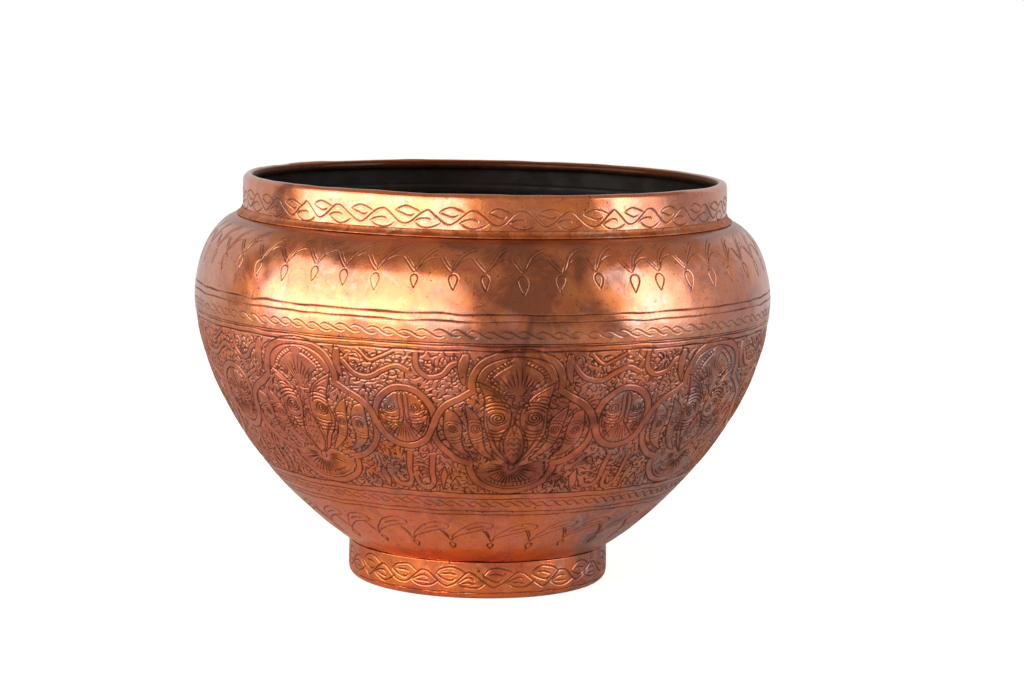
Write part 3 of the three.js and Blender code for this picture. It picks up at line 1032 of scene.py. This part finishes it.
class Look:
    """A material with one Principled shader, built by short calls that return sockets."""

    def __init__(self, name, metallic=1.0):
        self.material = bpy.data.materials.new(name)
        self.material.use_nodes = True
        self.tree = self.material.node_tree
        self.shader = self.tree.nodes["Principled BSDF"]
        self.shader.inputs["Metallic"].default_value = metallic
        self.place = self.node("TexCoord").outputs["Object"]

    def node(self, kind, inputs=()):
        return add_node(self.tree, kind, inputs)

    def mark(self, name):
        node = self.node("Attribute")
        node.attribute_name = name
        return node.outputs["Fac"]

    def noise(self, size, detail=4.0, rough=0.55, bend=0.0, stretch=(1, 1, 1)):
        """Noise with patches of about the given size in mm."""
        shift = (size * 0.013, size * 0.029, 0)
        placed = self.node("Mapping", {"Vector": self.place, "Scale": stretch, "Location": shift})
        return self.node("TexNoise", {
            "Vector": placed.outputs["Vector"], "Scale": 1 / (size * MM), "Detail": detail, "Roughness": rough,
            "Distortion": bend}).outputs["Fac"]

    def ramp(self, source, low, high, to_low=0.0, to_high=1.0):
        node = self.node("MapRange", {
            "Value": source, "From Min": low, "From Max": high, "To Min": to_low, "To Max": to_high})
        node.interpolation_type = "SMOOTHSTEP"
        return node.outputs["Result"]

    def patches(self, noise, *levels):
        """Noise, given by its arguments, run through a ramp."""
        return self.ramp(self.noise(*noise), *levels)

    def math(self, kind, a, b):
        node = self.node("Math", {0: a, 1: b})
        node.operation = kind
        return node.outputs["Value"]

    def times(self, a, b):
        return self.math("MULTIPLY", a, b)

    def plus(self, a, b):
        return self.math("ADD", a, b)

    def mix(self, factor, a, b):
        node = self.node("Mix")
        node.data_type = "RGBA"
        fill(self.tree, node, {0: factor, 6: a, 7: b})
        return node.outputs[2]

    def height(self, noise, amount):
        """The height above the surface the pot stands on, in mm, made uneven by noise."""
        place = self.node("SeparateXYZ", {0: self.place})
        return self.plus(self.math("DIVIDE", place.outputs["Z"], MM), self.times(self.noise(*noise), amount))

    def finished(self, colour, roughness, grain, strength, depth, others=()):
        """Connects the shader and gives the material. grain is a bump of a strength and a depth in mm."""
        bump = self.node("Bump", {"Height": grain, "Strength": strength, "Distance": depth * MM})
        fill(self.tree, self.shader, {
            "Base Color": colour, "Roughness": roughness, "Normal": bump.outputs["Normal"], **dict(others)})
        return self.material


COPPER_BRIGHT = (0.88, 0.265, 0.100)
COPPER_ORANGE = (0.90, 0.26, 0.060)
COPPER_RED = (0.66, 0.155, 0.085)
COPPER_BROWN = (0.32, 0.075, 0.035)
COPPER_PINK = (0.86, 0.37, 0.27)
COPPER_DEEP = (0.92, 0.245, 0.022)
# Grey tarnish, and the silver that paints the side light's reflection on it.
GREY_PINK = (0.29, 0.135, 0.140)
SILVER_REFLECTION = (0.47, 0.360, 0.355)
OXIDE = (0.038, 0.011, 0.007)
STRAP_RED = (0.62, 0.155, 0.075)
COPPER_GOLD = (0.95, 0.40, 0.085)
COPPER_PLUM = (0.42, 0.12, 0.115)
# Near-black tones of the painted shade inside the pot; the brown one is also the dark of the belly's solder seam.
HOLLOW_SHADE_BLACK = (0.006, 0.0035, 0.003)
HOLLOW_SHADE_AND_SEAM_BROWN = (0.020, 0.009, 0.006)
HOLLOW_SHADE_RED = (0.035, 0.012, 0.007)
TIDE = (0.92, 0.56, 0.42)
# Brown of the painted shade under the collar's joint.
JOINT_SHADE_BROWN = (0.46, 0.140, 0.050)
# Brown of the painted dark reflection on the front.
DARK_REFLECTION_BROWN = (0.14, 0.028, 0.015)
SALMON = (0.90, 0.26, 0.15)
FRIEZE_SALMON = (0.90, 0.26, 0.155)
FOOT_COPPER = (0.92, 0.235, 0.07)
IRON = (0.13, 0.12, 0.115)
RUST = (0.20, 0.075, 0.03)

# Skin, dark and pale tones of each solder
NECK_TIN = (0.66, 0.225, 0.090), (0.42, 0.125, 0.050), (0.66, 0.46, 0.36)
BELLY_TIN = (0.045, 0.026, 0.020), HOLLOW_SHADE_AND_SEAM_BROWN, (0.16, 0.13, 0.11)
FOOT_TIN = (0.48, 0.33, 0.26), (0.30, 0.15, 0.10), (0.72, 0.62, 0.55)


def patina(look, base, warm, red, brown):
    """Blotches of aged copper over a base tone: warm, red and brown patches, tide marks and dark specks."""

    def spread(tone, noise, low, high, amount, colour):
        return look.mix(look.times(look.patches(noise, low, high), amount), tone, colour)

    tone = spread(base, (46, 5, 0.6, 0.6), 0.42, 0.62, 1.0, COPPER_ORANGE)
    for patch in (((27, 6, 0.62, 1.2), 0.50, 0.64, red, COPPER_RED),
                  ((61, 6, 0.66, 0.9), 0.50, 0.66, brown, COPPER_BROWN),
                  ((22, 5, 0.6, 1.5), 0.53, 0.66, warm, COPPER_PINK),
                  ((17, 5, 0.66, 1.3), 0.57, 0.66, 0.55, COPPER_GOLD),
                  ((13, 6, 0.7, 1.8), 0.57, 0.64, brown, COPPER_BROWN),
                  ((8, 5, 0.7, 1.4), 0.60, 0.66, 0.5, COPPER_PLUM),
                  ((10, 5, 0.65, 0.4, (1, 1, 0.22)), 0.55, 0.65, 0.40, COPPER_RED)):
        tone = spread(tone, *patch)
    drops = look.noise(15, 3, 0.5, 2.2)
    rim = look.times(look.ramp(drops, 0.60, 0.625), look.ramp(drops, 0.66, 0.635))
    tone = look.mix(look.times(rim, 0.20), tone, TIDE)
    tone = spread(tone, (5.2, 4, 0.62, 0.8), 0.65, 0.69, 0.5, COPPER_BROWN)
    return spread(tone, (2.1, 2, 0.5), 0.68, 0.73, 0.8, OXIDE)


def worked_metal(look, tone, roughness, coat=1.5):
    """Darkens the cuts, the drip and the smudges, paints shade, the dark front reflection and the silvery side
    reflection, paints the inside near black as shade, sets the gloss and the fine surface, and gives the material.
    """
    cut, ground, strap, inside = (look.mark(name) for name in ("cut", "ground", "strap", "inside"))
    # Grey side: grey tarnish, with silver painted in patches as the reflection of the side light.
    grey_and_reflection = look.times(look.mark("grey_and_reflection"), look.patches((24, 6, 0.70, 1.2), 0.32, 0.62, 0.35, 0.92))
    tone = look.mix(grey_and_reflection, tone, look.mix(look.patches((12, 6, 0.7, 1.6), 0.47, 0.60), GREY_PINK, SILVER_REFLECTION))
    # Brown patches: painted shade at the front, smudges behind.
    tone = look.mix(look.times(look.mark("shade_and_smudge"), 0.8), tone, COPPER_BROWN)
    tone = look.mix(look.times(ground, look.patches((20, 5, 0.6), 0.38, 0.6, 0.0, 0.42)), tone, COPPER_PINK)
    tone = look.mix(look.times(strap, look.patches((18, 5, 0.65), 0.4, 0.6, 0.1, 0.5)), tone, STRAP_RED)
    tone = look.mix(look.times(look.mark("drip"), 0.78), tone, COPPER_BROWN)
    # Painted dark reflection over the front.
    front_dark_reflection = look.times(look.mark("front_dark_reflection"), look.patches((30, 6, 0.68, 1.2), 0.36, 0.54, 0.25, 1.0))
    tone = look.mix(front_dark_reflection, tone, look.mix(0.68, tone, DARK_REFLECTION_BROWN))
    tone = look.mix(look.times(cut, look.patches((24, 5, 0.6, 0.8), 0.34, 0.62, 1.0, 0.80)), tone, OXIDE)
    # The inside mark paints near-black shade over the inner surfaces.
    black = look.mix(look.patches((38, 6, 0.7, 1.0), 0.40, 0.75), HOLLOW_SHADE_BLACK, HOLLOW_SHADE_AND_SEAM_BROWN)
    gloss = look.plus(look.patches((31, 6, 0.65, 1.1), 0.34, 0.70, 0.0, 0.14), roughness)
    for mark, dulled in ((cut, 0.22), (ground, 0.04), (inside, 0.40)):
        gloss = look.plus(gloss, look.times(mark, dulled))
    grain = look.plus(look.noise(1.1, 3, 0.6), look.times(look.noise(5.5, 4, 0.6), 2.2))
    return look.finished(look.mix(inside, tone, black), gloss, grain, 0.30, 0.10, {
        "Coat Weight": look.ramp(look.plus(cut, inside), 0.1, 0.9, 0.8, 0.1), "Coat IOR": coat,
        "Coat Roughness": 0.15})


def copper(name, base, warm, red, brown, roughness, coat):
    look = Look(name)
    return worked_metal(look, patina(look, base, warm, red, brown), roughness, coat)


def shoulder_copper():
    """The shoulder: polished copper, dull where it runs in under the collar, and painted brown there as shade."""
    look = Look("shoulder_copper")
    # dull also paints the shade under the collar's joint brown.
    dull = look.ramp(look.height((14, 4), 3), 204.5, 209)
    tone = look.mix(dull, patina(look, COPPER_BRIGHT, 0.55, 0.6, 0.6), JOINT_SHADE_BROWN)
    return worked_metal(look, tone, look.plus(look.times(dull, 0.28), 0.22), 2.0)


def bowl_copper():
    """The lower bowl: redder over the frieze, salmon and orange towards the foot."""
    look = Look("bowl_copper")
    base = look.mix(look.ramp(look.height((30, 4), 14), 36, 52), COPPER_DEEP, SALMON)
    base = look.mix(look.ramp(look.height((40, 4), 18), 62, 98), base, FRIEZE_SALMON)
    return worked_metal(look, patina(look, base, 0.5, 0.55, 0.3), 0.26)


def tin_solder(name, skin, dark, pale, blotches):
    """Old soft solder: tin with a skin of another colour, matt and lumpy."""
    look = Look(name)
    tone = look.mix(look.patches((9, 5, 0.6, 0.8), 0.38, 0.66), skin, dark)
    tone = look.mix(look.patches((12, 6, 0.68, 1.6), 0.50, 0.66, 0.0, blotches), tone, pale)
    lumps = look.plus(look.noise(3.2, 4, 0.6), look.times(look.noise(0.9, 3, 0.6), 0.3))
    return look.finished(tone, look.patches((7, 5, 0.6), 0.3, 0.7, 0.36, 0.6), lumps, 0.6, 0.5)


def iron_wire():
    """Drawn iron wire, darkened, with a little rust."""
    look = Look("iron_wire")
    tone = look.mix(look.patches((8, 5, 0.6), 0.48, 0.62), IRON, RUST)
    return look.finished(tone, look.patches((5, 4, 0.6), 0.3, 0.7, 0.45, 0.75), look.noise(1.2, 4, 0.6), 0.4, 0.1)


def hollow_shade():
    """Painted shade for the inside of the pot: dull and nearly black."""
    look = Look("hollow_shade", metallic=0.0)
    tone = look.mix(look.patches((38, 6, 0.7, 1.0), 0.42, 0.72), HOLLOW_SHADE_BLACK, HOLLOW_SHADE_AND_SEAM_BROWN)
    tone = look.mix(look.patches((11, 5, 0.65, 1.2), 0.58, 0.68, 0.0, 0.6), tone, HOLLOW_SHADE_RED)
    gloss = look.patches((16, 5, 0.6), 0.3, 0.7, 0.42, 0.72)
    return look.finished(tone, gloss, look.noise(2.5, 4, 0.6), 0.4, 0.2, {"Specular IOR Level": 0.3})


def dress(piece, material, inner=None):
    piece.data.materials.append(material)
    if inner:
        piece.data.materials.append(inner)


# ---------------------------------------------------------------- studio

FLOOR_RADIUS = 1.25
PANEL_DISTANCE = 2.7
CAMERA_TARGET = 0.13592
CAMERA_DISTANCE = 1.6937
CAMERA_ELEVATION = 7.426
CAMERA_ROLL = 1.163
CAMERA_LENS = 103.07
CAMERA_SHIFT = 0.0294

WHITE = (1, 1, 1)
FLOOR_COLOUR = (0.74, 0.73, 0.72)
FLOOR_BRIGHTNESS = 0.80
ROOM_COLOUR = (1.0, 0.72, 0.50)
ROOM_BRIGHTNESS = 0.34
KEY_LOW = (1.0, 0.97, 0.90)
KEY_HIGH = (1.0, 0.95, 0.86)
SIDE_LIGHT = (0.95, 1.0, 1.02)
COOL_LIGHT = (0.95, 0.90, 1.0)
BACK_LIGHT = (1.0, 0.98, 0.98)


def direction(azimuth, elevation):
    """Unit vector to a place in the studio; azimuth 0 is the front, and 90 is +X."""
    a, e = math.radians(azimuth), math.radians(elevation)
    return Vector((math.sin(a) * math.cos(e), -math.cos(a) * math.cos(e), math.sin(e)))


def glow(name, colour, strength):
    material = bpy.data.materials.new(name)
    material.use_nodes = True
    tree = material.node_tree
    tree.nodes.clear()
    light = add_node(tree, "Emission", {"Color": colour, "Strength": strength})
    add_node(tree, "OutputMaterial", {"Surface": light.outputs[0]})
    return material


def staged(name, points, faces, material):
    """A mesh object of the studio, from points in metres."""
    mesh = bpy.data.meshes.new(name)
    mesh.from_pydata(points, [], faces)
    mesh.materials.append(material)
    made = bpy.data.objects.new(name, mesh)
    bpy.context.scene.collection.objects.link(made)
    return made


def panel(name, azimuths, elevations, colour, strength, distance=PANEL_DISTANCE):
    """A curved light panel round the pot, seen only in reflections."""
    across, up = 24, 8
    centre = Vector((0, 0, CAMERA_TARGET))
    points = []
    for i in range(up + 1):
        for j in range(across + 1):
            azimuth = azimuths[0] + (azimuths[1] - azimuths[0]) * j / across
            elevation = elevations[0] + (elevations[1] - elevations[0]) * i / up
            way = direction(azimuth, 0) * distance
            points.append(centre + way + Vector((0, 0, distance * math.tan(math.radians(elevation)))))
    wide = across + 1
    faces = [(i * wide + j, i * wide + j + 1, (i + 1) * wide + j + 1, (i + 1) * wide + j)
             for i in range(up) for j in range(across)]
    staged(name, points, faces, glow(name, colour, strength)).visible_camera = False


def floor():
    """A pale round floor that fades into the backdrop."""
    count = 96
    points = [(FLOOR_RADIUS * math.cos(2 * math.pi * k / count), FLOOR_RADIUS * math.sin(2 * math.pi * k / count), 0)
              for k in range(count)]
    material = bpy.data.materials.new("floor")
    material.use_nodes = True
    tree = material.node_tree
    bright = add_node(tree, "Math", {0: add_node(tree, "LightPath").outputs["Is Camera Ray"], 1: FLOOR_BRIGHTNESS})
    bright.operation = "MULTIPLY"
    fill(tree, tree.nodes["Principled BSDF"], {
        "Base Color": FLOOR_COLOUR, "Roughness": 0.9, "Specular IOR Level": 0.1, "Emission Color": WHITE,
        "Emission Strength": bright.outputs[0]})
    staged("floor", points, [tuple(range(count))], material)


def surroundings():
    """White backdrop to the eye, dim room in reflections."""
    world = bpy.data.worlds.new("studio")
    bpy.context.scene.world = world
    world.use_nodes = True
    tree = world.node_tree
    tree.nodes.clear()
    seen = add_node(tree, "Background", {"Color": WHITE})
    dim = add_node(tree, "Background", {"Color": ROOM_COLOUR, "Strength": ROOM_BRIGHTNESS})
    eye = add_node(tree, "LightPath").outputs["Is Camera Ray"]
    mix = add_node(tree, "MixShader", {0: eye, 1: dim.outputs[0], 2: seen.outputs[0]})
    add_node(tree, "OutputWorld", {"Surface": mix.outputs[0]})


def studio():
    floor()
    surroundings()
    panel("key_panel_low", (-93, -8), (-13, 13), KEY_LOW, 3.6)
    panel("key_panel_high", (-93, -10), (13, 37), KEY_HIGH, 2.4)
    panel("side_panel", (58, 76), (-13, 38), SIDE_LIGHT, 3.4)
    panel("soft_side_panel", (76, 88), (-13, 38), SIDE_LIGHT, 1.5)
    panel("cool_panel", (88, 132), (-13, 30), COOL_LIGHT, 0.46)
    panel("back_panel", (132, 244), (-13, 34), BACK_LIGHT, 0.6, distance=2.8)


def camera():
    data = bpy.data.cameras.new("camera")
    data.lens = CAMERA_LENS
    data.sensor_width = 36
    data.shift_x = CAMERA_SHIFT
    data.clip_start = 0.05
    data.clip_end = 40
    eye = bpy.data.objects.new("camera", data)
    bpy.context.scene.collection.objects.link(eye)
    target = Vector((0, 0, CAMERA_TARGET))
    back = direction(0, CAMERA_ELEVATION)
    eye.rotation_mode = "QUATERNION"
    eye.location = target + back * CAMERA_DISTANCE
    look = (-back).to_track_quat("-Z", "Y")
    eye.rotation_quaternion = look @ Matrix.Rotation(math.radians(CAMERA_ROLL), 3, "Z").to_quaternion()
    bpy.context.scene.camera = eye
    bpy.context.scene.view_settings.view_transform = "Standard"
    bpy.context.scene.view_settings.look = "None"


# ---------------------------------------------------------------- build

def build():
    black = hollow_shade()
    bowl, wall = lower_bowl()
    dress(bowl, bowl_copper(), black)
    dress(shoulder(wall), shoulder_copper(), black)
    dress(collar(), copper("collar_copper", COPPER_BRIGHT, 0.45, 0.4, 0.42, 0.22, 2.0), black)
    dress(foot(), copper("foot_copper", FOOT_COPPER, 0.15, 0.6, 0.5, 0.24, 1.5))
    neck_tin = tin_solder("neck_tin", *NECK_TIN, 0.55)
    dress(plain_ring("neck_fillet", "neck_solder", 0.6, swell=0.3), neck_tin)
    dress(plain_ring("belly_bead", "belly_solder", 1.0), tin_solder("belly_tin", *BELLY_TIN, 0.4))
    dress(plain_ring("foot_fillet", "foot_solder", 0.5), tin_solder("foot_tin", *FOOT_TIN, 0.6))
    dress(plain_ring("rim_core", "rim_wire", 0.5), iron_wire())


build()
studio()
camera()
